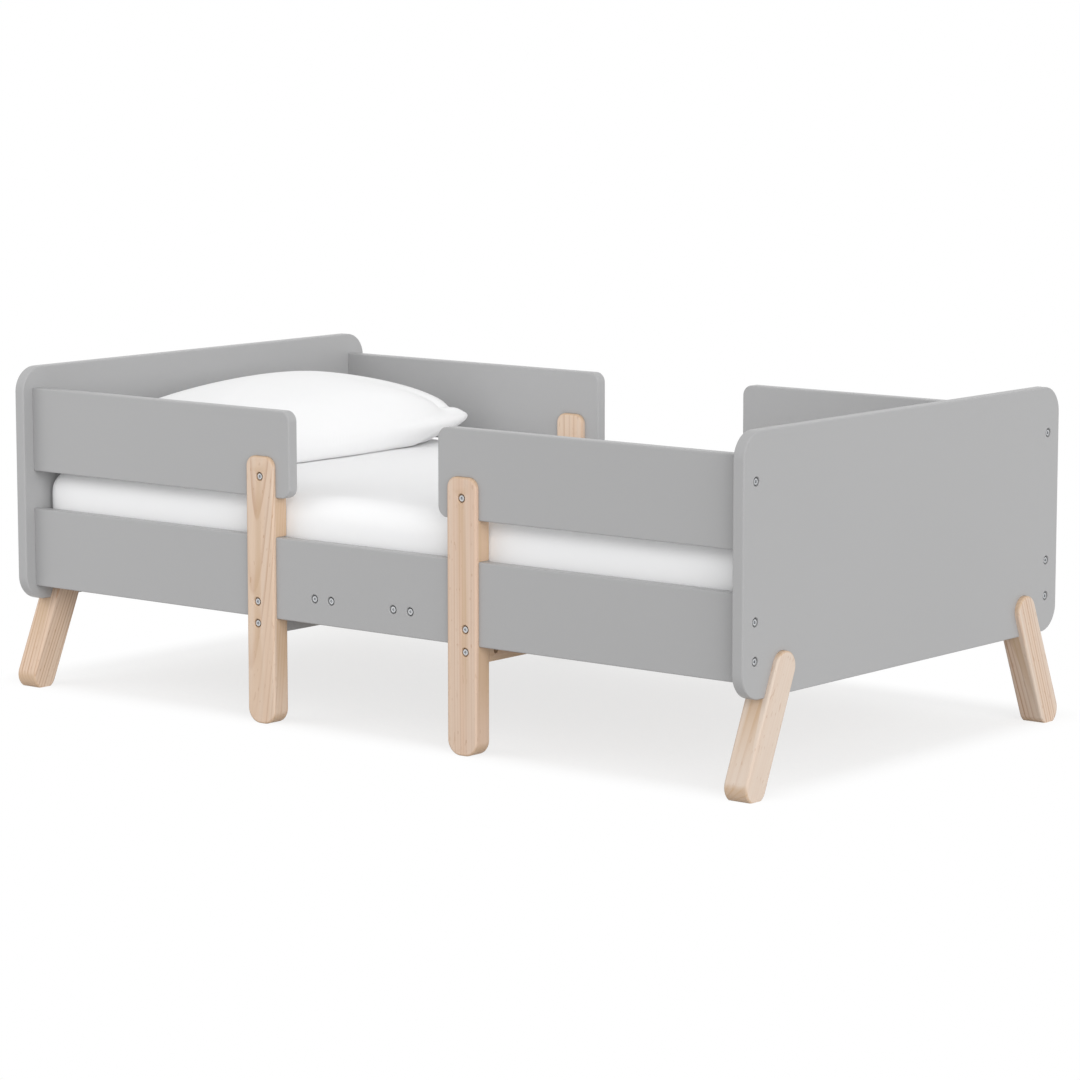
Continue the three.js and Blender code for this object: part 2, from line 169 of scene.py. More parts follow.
def pineWood():
    # The grain attribute holds a point's place in the log, with its heart at 0, 0 and the fibres along the
    # third part. Growth rings are cylinders round the heart, bent by a slow noise: each goes from light to
    # dark and ends sharply. The tone attribute says how strong the lines are and the pale attribute how
    # light the wood between them is. The endGrain attribute is 1 where a face cuts across the fibres.
    material, shader, place = newFinish("pineWood", {"Specular IOR Level": pine["specular"]})
    grain = place.attribute("grain", 1)
    tone, pale, across = (place.attribute(name, 2) for name in ("tone", "pale", "endGrain"))
    slow = grain.scaled(pine["wanderScale"])
    radius = grain.scaled((1, 1, 0)).length()
    rings = (radius + slow.noise(1.0) * pine["wander"]) / pine["ringWidth"]
    phase = rings.math("FRACT")
    ringNumber = rings.math("FLOOR")
    strength = ringNumber.node("ShaderNodeTexWhiteNoise", {"noise_dimensions": "1D"}, {"W": ringNumber})
    autumn = phase.between(*pine["darkens"]) * (1 - phase.between(*pine["clears"]))
    autumn = autumn * (strength * pine["lineWeight"] + pine["lineLeast"])
    patches = slow.noise(2.3, 1.0).between(0.25, 0.7)
    fibre = grain.scaled(pine["fibreScale"]).noise(1.0)
    streak = grain.scaled(pine["streakScale"]).noise(1.0)
    fleck = grain.scaled(pine["fleckScale"]).noise(1.0, 0.0).between(0.74, 0.79)
    band = grain.scaled(pine["bandScale"]).noise(1.0, 1.0).between(0.35, 0.65)
    warmth = slow.noise(0.8, 1.0).between(0.3, 0.7)
    paleness = (pale + (band - 0.5) * pine["bandWeight"]).between(0.0, 1.0)
    light = paleness.mix(warmth.mix(pine["early"], pine["warm"]), pine["pale"])
    lines = autumn * tone * (0.45 + 0.55 * patches)
    streaks = (streak - 0.5) * (0.25 + 0.30 * tone) + (fibre - 0.5) * pine["fibreWeight"]
    body = (lines + streaks + fleck * pine["fleckWeight"]).between(-0.15, 1.10).mix(light, pine["late"])
    cutEnd = across.between(0.05, 0.50) * (0.70 + 0.30 * autumn)
    cutEnd.mix(body, pine["end"]).feed(shader, "Base Color")
    (pine["roughness"] + fibre * 0.12 - autumn * 0.05).feed(shader, "Roughness")
    (fibre + autumn * 0.3).bump(pine["bumpStrength"], pine["bumpDepth"]).feed(shader, "Normal")
    return material


plywood = {
    "face": (0.640, 0.480, 0.320, 1), "vein": (0.500, 0.350, 0.215, 1), "core": (0.420, 0.280, 0.165, 1),
    "layer": 0.0018, "veinScale": (60.0, 60.0, 3.0), "specular": 0.3, "roughness": 0.6,
    "bumpStrength": 0.2, "bumpDepth": 0.0002,
}


def plywoodSheet():
    # The layers show at the edges, where the level picks a light or a dark one; the faces show one layer.
    material, shader, place = newFinish("plywoodSheet", {"Specular IOR Level": plywood["specular"]})
    grain = place.attribute("grain", 1)
    layers = place.part(2) / plywood["layer"]
    core = layers.math("PINGPONG", 1.0).between(0.45, 0.55)
    vein = grain.scaled(plywood["veinScale"]).noise(1.0, 3.0).between(0.4, 0.7)
    fibre = grain.scaled(pine["fibreScale"]).noise(1.0)
    face = (vein * 0.7 + fibre * 0.3).mix(plywood["face"], plywood["vein"])
    (core * 0.4).mix(face, plywood["core"]).feed(shader, "Base Color")
    (plywood["roughness"] + fibre * 0.15).feed(shader, "Roughness")
    (fibre + core * 0.5).bump(plywood["bumpStrength"], plywood["bumpDepth"]).feed(shader, "Normal")
    return material


zinc = {
    "light": (0.66, 0.67, 0.68, 1), "dark": (0.50, 0.51, 0.53, 1), "roughness": 0.24, "roughnessChange": 0.14,
    "blotches": 380.0, "crystals": 2500.0, "bumpStrength": 0.1, "bumpDepth": 0.0001,
}


def zincPlate():
    material, shader, place = newFinish("zincPlate", {"Metallic": 1.0})
    blotch = place.noise(zinc["blotches"], 3.0)
    blotch.between(0.35, 0.7).mix(zinc["light"], zinc["dark"]).feed(shader, "Base Color")
    (zinc["roughness"] + blotch * zinc["roughnessChange"]).feed(shader, "Roughness")
    place.noise(zinc["crystals"], 1.0).bump(zinc["bumpStrength"], zinc["bumpDepth"]).feed(shader, "Normal")
    return material


cotton = {
    "mattress": {"light": (0.895, 0.896, 0.900, 1), "dark": (0.875, 0.876, 0.881, 1), "weave": 1500.0},
    "pillow": {"light": (0.855, 0.856, 0.859, 1), "dark": (0.840, 0.841, 0.845, 1), "weave": 1900.0},
    "shine": {"Specular IOR Level": 0.2, "Sheen Weight": 0.15, "Sheen Roughness": 0.5},
    "roughness": 0.82, "slubs": 90.0, "clouds": 4.0, "bumpStrength": 0.25, "bumpDepth": 0.0002,
}


def cottonCover(kind):
    # Warp and weft are two sine waves across each other, on the cover's own coordinates.
    material, shader, place = newFinish(kind + "Cotton", cotton["shine"])
    look = cotton[kind]
    cloth = place.attribute("cloth", 1)
    warp, weft = ((cloth.part(number) * look["weave"]).math("SINE") for number in (0, 1))
    slub = cloth.noise(cotton["slubs"])
    clouds = place.noise(cotton["clouds"])
    (clouds * 0.6 + slub * 0.4).mix(look["light"], look["dark"]).feed(shader, "Base Color")
    (cotton["roughness"] + slub * 0.1).feed(shader, "Roughness")
    (warp * weft * 0.5 + slub * 0.6).bump(cotton["bumpStrength"], cotton["bumpDepth"]).feed(shader, "Normal")
    return material


finishes = {
    "gray_paint": grayPaint(), "pine": pineWood(), "plywood": plywoodSheet(), "zinc": zincPlate(),
    "mattress_cover": cottonCover("mattress"), "pillow_cover": cottonCover("pillow"),
}
print("finishes made")


# Meshes

def gridFaces(indices, closed):
    # The quads between the neighbouring rows and columns of a grid of vertex numbers. Rows run down, and
    # columns run anticlockwise; in a closed grid the last column meets the first.
    if closed:
        indices = np.concatenate([indices, indices[:, :1]], 1)
    above, below = indices[:-1], indices[1:]
    quads = np.stack([above[:, :-1], below[:, :-1], below[:, 1:], above[:, 1:]], -1)
    return quads.reshape(-1, 4)


def cappedFaces(rows, columns):
    # A closed grid's quads with a face over its first row and one over its last
    indices = np.arange(rows * columns).reshape(rows, columns)
    return gridFaces(indices, True).tolist() + [indices[0].tolist(), indices[-1][::-1].tolist()]


def newPiece(name, points, faces):
    mesh = bpy.data.meshes.new(name)
    mesh.from_pydata(points.tolist(), [], faces)
    mesh.update()
    piece = bpy.data.objects.new(name, mesh)
    scene.collection.objects.link(piece)
    return piece


def pointsOf(piece):
    points = np.empty(len(piece.data.vertices) * 3, np.float32)
    piece.data.vertices.foreach_get("co", points)
    return points.reshape(-1, 3).astype(float)


def setPoints(piece, points):
    piece.data.vertices.foreach_set("co", points.astype(np.float32).ravel())
    piece.data.update()


def setVector(piece, name, values):
    attribute = piece.data.attributes.new(name, "FLOAT_VECTOR", "POINT")
    attribute.data.foreach_set("vector", values.astype(np.float32).ravel())


def setNumber(piece, name, values):
    attribute = piece.data.attributes.new(name, "FLOAT", "POINT")
    attribute.data.foreach_set("value", values.astype(np.float32))


def rectangleArcs(low, high, radii):
    # Corner arcs, from the one at the high first value and the low second value, anticlockwise
    corners = [(high[0], low[1]), (high[0], high[1]), (low[0], high[1]), (low[0], low[1])]
    inward = [(-1, 1), (-1, -1), (1, -1), (1, 1)]
    return [
        (x + dx * radius, y + dy * radius, radius, 90 * i - 90, 90 * i)
        for i, ((x, y), (dx, dy), radius) in enumerate(zip(corners, inward, radii))
    ]


def barArcs(lowEnd, highEnd, radius):
    # A bar with full round ends, between the middles of its ends
    along = math.degrees(math.atan2(highEnd[1] - lowEnd[1], highEnd[0] - lowEnd[0]))
    return [
        (highEnd[0], highEnd[1], radius, along - 90, along + 90),
        (lowEnd[0], lowEnd[1], radius, along + 90, along + 270),
    ]


def newBoard(name, arcs, span, axes, rounding, arcSteps=12, edgeSteps=5):
    # The outline is a chain of arcs joined by straight runs. It is carried down the edge's profile: a
    # quarter circle, a flat band and a quarter circle, where each row is the outline inset by the profile's
    # inset, at the profile's level. A narrow flat row beside each quarter keeps the faces' shading flat.
    turn = np.linspace(0, 1, arcSteps + 1)
    x, y, radius, first, last = (np.array(column)[:, None] for column in zip(*arcs))
    angle = np.radians(first + (last - first) * turn)
    direction = np.stack([np.cos(angle), np.sin(angle)], -1).reshape(-1, 2)
    centre = np.repeat(np.concatenate([x, y], 1), arcSteps + 1, 0)
    radius = np.repeat(radius, arcSteps + 1)
    quarter = np.linspace(0, math.pi / 2, edgeSteps + 1)
    margin = 0.3 * rounding
    half = (span[1] - span[0]) / 2
    inset = np.concatenate([[rounding + margin], rounding * (1 - np.sin(quarter)), [0]])
    level = np.concatenate([[half], half - rounding * (1 - np.cos(quarter)), [half - rounding - margin]])
    inset = np.concatenate([inset, inset[::-1]])
    level = np.concatenate([level, -level[::-1]]) + (span[0] + span[1]) / 2
    flat = centre + (radius - inset[:, None])[..., None] * direction
    axes = np.array(axes)
    points = flat @ axes[:2] + level[:, None, None] * axes[2]
    return newPiece(name, points.reshape(-1, 3), cappedFaces(len(inset), len(radius)))


def newCutter(arcs, span, axes, arcSteps=16):
    return newBoard("cutter", arcs, span, axes, 0.0005, arcSteps, 1)


def newLathe(name, rows, point, outward, turns=24):
    # A profile turned round the outward axis through the point. A row is (radius, height, corners): with
    # corners it is a polygon of that many sides whose sides are the radius away, instead of a circle.
    outward = np.array(outward, float)
    sideways = np.roll(np.abs(outward), 1)
    across = np.cross(outward, sideways)
    angle = np.linspace(0, 2 * math.pi, turns, endpoint=False)
    circle = np.cos(angle)[:, None] * sideways + np.sin(angle)[:, None] * across
    rings = []
    for radius, height, *corners in rows:
        stretch = np.ones(turns)
        if corners:
            sector = 2 * math.pi / corners[0]
            stretch = 1 / np.cos((angle + sector / 2) % sector - sector / 2)
        rings.append(np.array(point) + height * outward + (radius * stretch)[:, None] * circle)
    return newPiece(name, np.concatenate(rings), cappedFaces(len(rows), turns))


def newBlock(low, high):
    corners = np.array([[x, y, z] for x in (0, 1) for y in (0, 1) for z in (0, 1)])
    faces = [[0, 1, 3, 2], [4, 6, 7, 5], [0, 4, 5, 1], [2, 3, 7, 6], [0, 2, 6, 4], [1, 5, 7, 3]]
    return newPiece("cutter", np.array(low) + corners * (np.array(high) - np.array(low)), faces)


def keepShape(piece):
    # Makes what the modifiers give the piece's own mesh
    graph = bpy.context.evaluated_depsgraph_get()
    mesh = bpy.data.meshes.new_from_object(piece.evaluated_get(graph))
    piece.modifiers.clear()
    piece.data = mesh
    mesh.name = piece.name


def cutAway(piece, cutters):
    # Takes the cutters out of the piece and removes them
    for cutter in cutters:
        modifier = piece.modifiers.new("cut", "BOOLEAN")
        modifier.operation = "DIFFERENCE"
        modifier.solver = "EXACT"
        modifier.object = cutter
    keepShape(piece)
    for cutter in cutters:
        bpy.data.objects.remove(cutter)


def finishPiece(piece, slot, body, *nodes):
    piece.data.shade_smooth()
    piece.data.set_sharp_from_angle(angle=math.radians(32))
    piece.data.materials.clear()
    piece.data.materials.append(finishes[slot])
    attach(piece, body)
    if nodes:
        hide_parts(*nodes)


def layGrain(piece, along, across, log, heart=(0.03, 0.06), lean=(0.0, 0.0), tone=0.6, pale=0.3):
    # heart is how far the log's heart lies from the piece's middle, across it and through it, and lean is
    # how much the fibres drift each way for each metre along the piece. Each log number is other wood.
    along = np.array(along, float) / np.linalg.norm(along)
    across = np.array(across, float)
    through = np.cross(along, across)
    fibres = along + lean[0] * across + lean[1] * through
    fibres /= np.linalg.norm(fibres)
    points = pointsOf(piece)
    away = points - (points.min(0) + points.max(0)) / 2
    length = away @ fibres
    sideways = away @ across - length * lean[0] + heart[0]
    deep = away @ through - length * lean[1] + heart[1]
    setVector(piece, "grain", np.stack([sideways, deep, length + 0.9 * log], 1))
    normals = np.empty(len(points) * 3, np.float32)
    piece.data.vertex_normals.foreach_get("vector", normals)
    setNumber(piece, "endGrain", np.abs(normals.reshape(-1, 3) @ fibres))
    setNumber(piece, "tone", np.full(len(points), tone))
    setNumber(piece, "pale", np.full(len(points), pale))


# Bolts and their bores

bolt = {
    "headRadius": 0.0045, "headHeight": 0.0045, "shank": 0.0030, "socket": 0.0020, "socketDepth": 0.0025,
    "bevel": 0.0003, "crown": [(0, -0.0006), (-0.0002, -0.0002), (-0.0006, 0)], "tip": (0.0006, 0.0008),
    "sink": 0.0012, "boreRadius": 0.0065, "rim": 0.0008, "clear": 0.0003,
}


def boltAxis(node):
    # The middle of the head's top, the outward direction, and the length
    low, high = (np.array(corner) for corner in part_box(node))
    size = high - low
    axis = int(np.argmax(size))
    outward = np.zeros(3)
    outward[axis] = -1 if ("_head" in node and axis == 0) or ("_front" in node and axis == 1) else 1
    point = (low + high) / 2 + outward * size[axis] / 2
    return point, outward, size[axis]


def boreFor(node):
    # A counterbore with a narrow chamfer round its rim, and the shank's hole
    point, outward, length = boltAxis(node)
    wide = bolt["boreRadius"]
    tight = bolt["shank"] + bolt["clear"]
    deep = -bolt["headHeight"] - bolt["clear"]
    surface = bolt["sink"]
    above = 0.002
    rows = [
        (wide + bolt["rim"] + above, surface + above), (wide, surface - bolt["rim"]), (wide, deep),
        (tight, deep), (tight, -length - 0.001),
    ]
    return newLathe("cutter", rows, point, outward)


def headRows(level, sign):
    # The round head with its six-sided socket, seen from its top at the level
    edge, socket, bevel, bottom = bolt["headRadius"], bolt["socket"], bolt["bevel"], -bolt["headHeight"]
    shape = [(edge - bevel, bottom), (edge, bottom + bevel)]
    shape += [(edge + out, up) for out, up in bolt["crown"]]
    shape += [(socket + 0.0005, 0.0, 6), (socket, -bevel, 6), (socket, -bolt["socketDepth"], 6)]
    return [(row[0], level + sign * row[1], *row[2:]) for row in shape]


def newBolt(node):
    point, outward, length = boltAxis(node)
    shank = bolt["shank"]
    narrow, tip = bolt["tip"]
    underHead = (shank, -bolt["headHeight"])
    rows = [(shank - narrow, -length), (shank, -length + tip), underHead]
    if "guard" in node and "post" in node:  # a sleeve nut with a head of its own, on the inner side
        rows = headRows(-length, -1)[::-1] + [(shank, -length + bolt["headHeight"]), underHead]
    rows = (rows + headRows(0, 1))[::-1]
    piece = newLathe(node.replace("bolt_", "zincBolt_"), rows, point, outward)
    finishPiece(piece, "zinc", "bed_frame", node)


allBolts = sorted(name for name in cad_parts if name.startswith("bolt_"))
for node in allBolts:
    newBolt(node)
print("bolts made:", len(allBolts))


# Painted boards, posts and legs

fit = 0.0003  # the gap between a piece and what it is let into
reach = 0.2  # cutters run this far past what they cut
acrossAxes = (axisY, axisZ, axisX)
alongAxes = (axisX, axisZ, -axisY)
flatAxes = (axisX, axisY, axisZ)
board = {"rounding": 0.0020, "panelCorner": 0.038, "guardCorner": 0.016, "buttCorner": 0.0035}
post = {"rounding": 0.0030, "topCorner": 0.016, "footCorner": 0.022, "tongue": 0.008}
leg = {"rounding": 0.0030, "width": 0.0445, "tongue": 0.010, "sole": 0.004}  # the sole is cut off flat
timber = {  # the heart's place, the fibres' lean, how strong the lines are and how pale the wood is
    "post_front_head": {"heart": (0.012, 0.060), "lean": (0.07, 0.05), "tone": 0.60, "pale": 0.12, "log": 0},
    "post_back_head": {"heart": (0.045, -0.050), "lean": (0.03, 0.02), "tone": 0.60, "pale": 0.30, "log": 1},
    "post_front_foot": {"heart": (0.075, 0.030), "lean": (-0.01, 0.01), "tone": 0.50, "pale": 0.18, "log": 2},
    "post_back_foot": {"heart": (0.010, -0.060), "lean": (0.02, -0.03), "tone": 0.65, "pale": 0.30, "log": 3},
    # The leg at the front head corner has the strongest lines and the least pale wood of all: partly its real
    # grain, partly painted shade for the shade that falls on its inner face.
    "leg_front_head": {"heart": (0.060, 0.050), "lean": (0.02, 0.02), "tone": 0.95, "pale": 0.00, "log": 4},
    "leg_back_head": {"heart": (0.070, 0.020), "lean": (0.02, 0.04), "tone": 0.50, "pale": 0.30, "log": 5},
    "leg_front_foot": {"heart": (-0.050, 0.030), "lean": (0.03, 0.01), "tone": 0.22, "pale": 0.95, "log": 6},
    "leg_back_foot": {"heart": (0.070, 0.045), "lean": (0.02, 0.01), "tone": 0.95, "pale": 0.60, "log": 7},
}


def legArcs(node, grow):
    low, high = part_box(node)
    side = 1 if low.y > 0 else -1
    far, near = (high.y, low.y) if side > 0 else (low.y, high.y)
    radius = leg["width"] / 2
    foot = (far - side * radius, radius - leg["sole"])
    return barArcs(foot, (near + side * radius, high.z - radius), radius + grow)


def postArcs(node, grow):
    low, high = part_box(node)
    radii = [post["footCorner"], post["topCorner"], post["topCorner"], post["footCorner"]]
    start, end = (low.x - grow, low.z - grow), (high.x + grow, high.z + grow)
    return rectangleArcs(start, end, [radius + grow for radius in radii])


def buttedArcs(low, high, radii, left, right):
    # A board's outline in X and Z that runs past its butt ends, which squareEnds then cuts off sharp
    past = 0.010
    start, end = (low.x - past * left, low.z), (high.x + past * right, high.z)
    return rectangleArcs(start, end, radii)


def squareEnds(low, high, left, right):
    spans = [(low.x - reach, low.x)] * left + [(high.x, high.x + reach)] * right
    return [newBlock((near, low.y - reach, -1), (far, high.y + reach, 1)) for near, far in spans]


def makePanel(end):
    node = end + "board"
    low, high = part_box(node)
    arcs = rectangleArcs((low.y, low.z), (high.y, high.z), [board["panelCorner"]] * 4)
    piece = newBoard(node + "Panel", arcs, (low.x, high.x), acrossAxes, board["rounding"], 16)
    cutters = []
    for side in sides:
        legNode = f"leg_{side}_{end}"
        legLow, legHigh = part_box(legNode)
        if ends[end] > 0:
            span = (legHigh.x - leg["tongue"] - fit, legHigh.x + reach)
        else:
            span = (legLow.x - reach, legLow.x + leg["tongue"] + fit)
        cutters.append(newCutter(legArcs(legNode, fit), span, acrossAxes))
        cutters += [boreFor(name) for name in allBolts if name.startswith(f"bolt_{node}_{side}")]
    cutAway(piece, cutters)
    finishPiece(piece, "gray_paint", "bed_frame", node)


def makeSideRail(side):
    node = "side_rail_" + side
    low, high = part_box(node)
    arcs = buttedArcs(low, high, [board["buttCorner"]] * 4, True, True)
    piece = newBoard("sideRailBoard_" + side, arcs, (-high.y, -low.y), alongAxes, board["rounding"], 4)
    outer = max(abs(low.y), abs(high.y))
    cutters = squareEnds(low, high, True, True)
    for end in ends:
        postLow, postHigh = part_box(f"post_{side}_{end}")
        depth = max(abs(postLow.y), abs(postHigh.y)) - post["tongue"] - fit
        near, far = sorted((sides[side] * depth, sides[side] * (outer + reach)))
        start, stop = (postLow.x - fit, near, low.z - reach), (postHigh.x + fit, far, high.z + reach)
        cutters.append(newBlock(start, stop))
    cutAway(piece, cutters)
    cutAway(piece, [boreFor(name) for name in allBolts if "beam" in name and side in name])
    finishPiece(piece, "gray_paint", "bed_frame", node)


def makeGuard(end, side):
    node = f"guard_{side}_{end}"
    postNode = f"post_{side}_{end}"
    low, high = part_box(node)
    corner, butt = board["guardCorner"], board["buttCorner"]
    atFoot = ends[end] > 0
    radii = [butt, butt, corner, corner] if atFoot else [corner, corner, butt, butt]
    arcs = buttedArcs(low, high, radii, not atFoot, atFoot)
    piece = newBoard(f"guardBoard_{side}_{end}", arcs, (-high.y, -low.y), alongAxes, board["rounding"])
    postLow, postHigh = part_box(postNode)
    tongue = post["tongue"] + fit
    pockets = [(-postHigh.y - reach, -postHigh.y + tongue), (-postLow.y - tongue, -postLow.y + reach)]
    cutters = [newCutter(postArcs(postNode, fit), span, alongAxes) for span in pockets]
    cutAway(piece, cutters + squareEnds(low, high, not atFoot, atFoot))
    cutAway(piece, [boreFor(f"bolt_{postNode}_guard")])
    finishPiece(piece, "gray_paint", "bed_frame", node)


def makePost(end, side):
    # Two tongues hold the guard's free end between them, and a notch in the inner face takes the side rail.
    node = f"post_{side}_{end}"
    low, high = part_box(node)
    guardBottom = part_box(f"guard_{side}_{end}")[0].z
    railLow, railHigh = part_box("side_rail_" + side)
    span = (-high.y, -low.y)
    piece = newBoard(f"postTimber_{side}_{end}", postArcs(node, 0), span, alongAxes, post["rounding"], 24)
    tongue = post["tongue"]
    outerFace = low.y if side == "front" else high.y
    bottom = outerFace - sides[side] * tongue
    near, far = sorted((bottom, bottom - sides[side] * reach))
    left, right = low.x - reach, high.x + reach
    cutAway(piece, [
        newBlock((left, low.y + tongue, guardBottom - fit), (right, high.y - tongue, 1)),
        newBlock((left, near, railLow.z - fit), (right, far, railHigh.z + fit)),
    ])
    cutAway(piece, [boreFor(f"bolt_{node}_{place}") for place in ("guard", "high", "low")])
    layGrain(piece, axisZ, axisX, **timber[node])
    finishPiece(piece, "pine", "bed_frame", node)


def makeLeg(end, side):
    # A slot from the top takes the end panel, and the foot is cut flat on the floor.
    node = f"leg_{side}_{end}"
    low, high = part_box(node)
    panelLow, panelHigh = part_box(end + "board")
    arcs = legArcs(node, 0)
    piece = newBoard(f"legTimber_{side}_{end}", arcs, (low.x, high.x), acrossAxes, leg["rounding"], 24)
    tongue = leg["tongue"]
    near, far = (panelLow.x - fit, high.x - tongue) if ends[end] > 0 else (low.x + tongue, panelHigh.x + fit)
    cutAway(piece, [
        newBlock((near, -1, panelLow.z - fit), (far, 1, 1)),
        newBlock((low.x - reach, -1, -reach), (high.x + reach, 1, 0)),
    ])
    along = np.array([0, arcs[0][0] - arcs[1][0], arcs[0][1] - arcs[1][1]])
    across = np.cross(along, axisX) / np.linalg.norm(along)
    layGrain(piece, along, across, **timber[node])
    finishPiece(piece, "pine", "bed_frame", node)


for end in ends:
    for side in sides:
        makeGuard(end, side)
        makePost(end, side)
        makeLeg(end, side)
for end in ends:
    makePanel(end)
for side in sides:
    makeSideRail(side)
print("boards, posts and legs made")


# What carries the mattress

deck = {"slots": 5, "pitch": 0.110, "slotWidth": 0.040, "margin": 0.075, "corner": 0.009, "rounding": 0.0005}


def makeDeck(end, log):
    # One half of the deck, with its slots across the bed
    low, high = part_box("deck_board_" + end)
    arcs = rectangleArcs((low.x, low.y), (high.x, high.y), [deck["corner"]] * 4)
    piece = newBoard("deckPlywood_" + end, arcs, (low.z, high.z), flatAxes, deck["rounding"], 6, 1)
    radius = deck["slotWidth"] / 2
    slotEnd = high.y - deck["margin"] - radius
    steps = np.arange(deck["slots"]) - (deck["slots"] - 1) / 2
    cutAway(piece, [
        newCutter(barArcs((x, -slotEnd), (x, slotEnd), radius), (0, 1), flatAxes, 12)
        for x in (low.x + high.x) / 2 + steps * deck["pitch"]
    ])
    layGrain(piece, axisX, axisY, log)
    finishPiece(piece, "plywood", "bed_frame", "deck_board_" + end)


bar = {"corner": 0.0025, "rounding": 0.0015}


def newBar(node, name, axes=flatAxes):
    low, high = (np.array(corner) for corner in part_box(node))
    first, second, third = (int(np.argmax(np.abs(axis))) for axis in axes)
    arcs = rectangleArcs((low[first], low[second]), (high[first], high[second]), [bar["corner"]] * 4)
    return newBoard(name, arcs, (low[third], high[third]), axes, bar["rounding"], 4, 3)


def makeBeam(end, log):
    node = "centre_beam_" + end
    piece = newBar(node, "centreBeam_" + end)
    cutAway(piece, [boreFor(name) for name in allBolts if name.startswith(f"bolt_{node}")])
    layGrain(piece, axisY, axisX, log)
    finishPiece(piece, "pine", "bed_frame", node)


def makeLedger(end, side, log):
    node = f"ledger_{side}_{end}"
    piece = newBar(node, f"ledgerStrip_{side}_{end}")
    layGrain(piece, axisX, axisY, log)
    finishPiece(piece, "pine", "bed_frame", node)


nut = {
    "radius": 0.005, "length": 0.014, "bevel": 0.0005, "slotWidth": 0.0012, "slotDepth": 0.0015,
    "setback": 0.021, "bore": 0.024, "boreRadius": 0.0052, "clear": 0.0001,
}


def newNut(name, mouth, sign):
    # A round cross nut at the bottom of its bore, with a screwdriver slot in the end that shows
    bottom = -nut["bore"] + 2 * nut["clear"]
    top = bottom + nut["length"]
    radius = nut["radius"] - nut["clear"]
    rows = [(radius - nut["bevel"], top), (radius, top - nut["bevel"]), (radius, bottom)]
    piece = newLathe(name, rows, mouth, (sign, 0, 0))
    x, y, z = mouth
    near, far = sorted((x + sign * (top - nut["slotDepth"]), x + sign * (top + 0.01)))
    start, stop = (near, y - 0.01, z - nut["slotWidth"] / 2), (far, y + 0.01, z + nut["slotWidth"] / 2)
    cutAway(piece, [newBlock(start, stop)])
    finishPiece(piece, "zinc", "bed_frame")


def makeCrossMember(end, log):
    # It runs between the posts, stepped up to clear the side rails, with a bore and a nut for each bolt.
    node = "cross_member_" + end
    sign = ends[end]
    low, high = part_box(node)
    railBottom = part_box("side_rail_back")[0].z
    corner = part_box("post_back_" + end)[0].y - fit
    piece = newBar(node, "crossMember_" + end, acrossAxes)
    steps = [(-1, -corner), (corner, 1)]
    cutAway(piece, [newBlock((-1, near, -1), (1, far, railBottom)) for near, far in steps])
    places = [(side, place) for side in sides for place in ("high", "low")]
    cutAway(piece, [boreFor(f"bolt_post_{side}_{end}_{place}") for side, place in places])
    for side, place in places:
        level = boltAxis(f"bolt_post_{side}_{end}_{place}")[0][2]
        mouth = (high.x if sign > 0 else low.x, sides[side] * (high.y - nut["setback"]), level)
        rows = [(nut["boreRadius"], 0.01), (nut["boreRadius"], -nut["bore"])]
        cutAway(piece, [newLathe("cutter", rows, mouth, (sign, 0, 0))])
        newNut(f"crossNut_{side}_{end}_{place}", mouth, sign)
    layGrain(piece, axisY, axisX, log, heart=(0.08, 0.04))
    finishPiece(piece, "gray_paint" if end == "head" else "pine", "bed_frame", node)


for end, log in {"head": 8, "foot": 16}.items():
    makeDeck(end, log)
    makeBeam(end, log + 1)
    makeLedger(end, "front", log + 1)
    makeLedger(end, "back", log + 3)
    makeCrossMember(end, log + 5)
print("deck and bars made")


# Mattress and pillow

mattress = {
    "round": 0.036, "planPower": 5.0, "steps": (132, 69, 13), "stretch": (0.003, 0.0005, 0.0),
    "ripple": 0.0012, "rippleLengths": (0.23, 0.31, 0.17), "fill": 0.9,
}


def waves(points, lengths):
    # Three slow sine waves at odd angles, each between -1 and 1, added and shared out
    directions = np.array([[1.0, 0.35, 0.2], [-0.45, 1.0, 0.4], [0.75, -0.9, 0.6]])
    return sum(
        np.sin(2 * math.pi * (points @ direction) / length + 1.7 * i)
        for i, (direction, length) in enumerate(zip(directions, lengths))) / len(lengths)


def mattressShell():
    # A box's grid, bent within one rounding of its edges. There each part of a point's way out, from 0 to 1,
    # is divided by the root of (x^p + y^p)^(2/p) + z^2 and brought back to the box's own way out: from above
    # the corners stay nearly square, and from the side they are round. The top has a slow ripple.
    low, high = (np.array(corner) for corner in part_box("mattress"))
    low, high = low - mattress["stretch"], high + mattress["stretch"]
    half, middle, edge, power = (high - low) / 2, (high + low) / 2, mattress["round"], mattress["planPower"]
    lines = [np.linspace(-1, 1, count + 1) * size for count, size in zip(mattress["steps"], half)]
    points, faces, total = [], [], 0
    for axis in range(3):
        first, second = (axis + 1) % 3, (axis + 2) % 3
        for sign in (-1, 1):
            a, b = np.meshgrid(lines[first], lines[second], indexing="ij")
            sheet = np.empty(a.shape + (3,))
            sheet[..., first], sheet[..., second], sheet[..., axis] = a, b, sign * half[axis]
            quads = gridFaces(np.arange(a.size).reshape(a.shape) + total, False)
            faces.append(quads if sign > 0 else quads[:, ::-1])
            points.append(sheet.reshape(-1, 3))
            total += a.size
    points = np.concatenate(points)
    heart = np.clip(points, -(half - edge), half - edge)
    out = np.abs(points - heart) / edge
    plan = (out[:, 0] ** power + out[:, 1] ** power) ** (2 / power)
    length = np.sqrt(plan + out[:, 2] ** 2)
    points = heart + (points - heart) * (out.max(1) / length)[:, None]
    height = np.clip(points[:, 2] / half[2], 0, 1)
    points[:, 2] += mattress["ripple"] * waves(points, mattress["rippleLengths"]) * height
    return newPiece("mattressPad", points + middle, np.concatenate(faces).tolist())


def weld(piece):
    modifier = piece.modifiers.new("weld", "WELD")
    modifier.merge_threshold = 1e-5
    keepShape(piece)


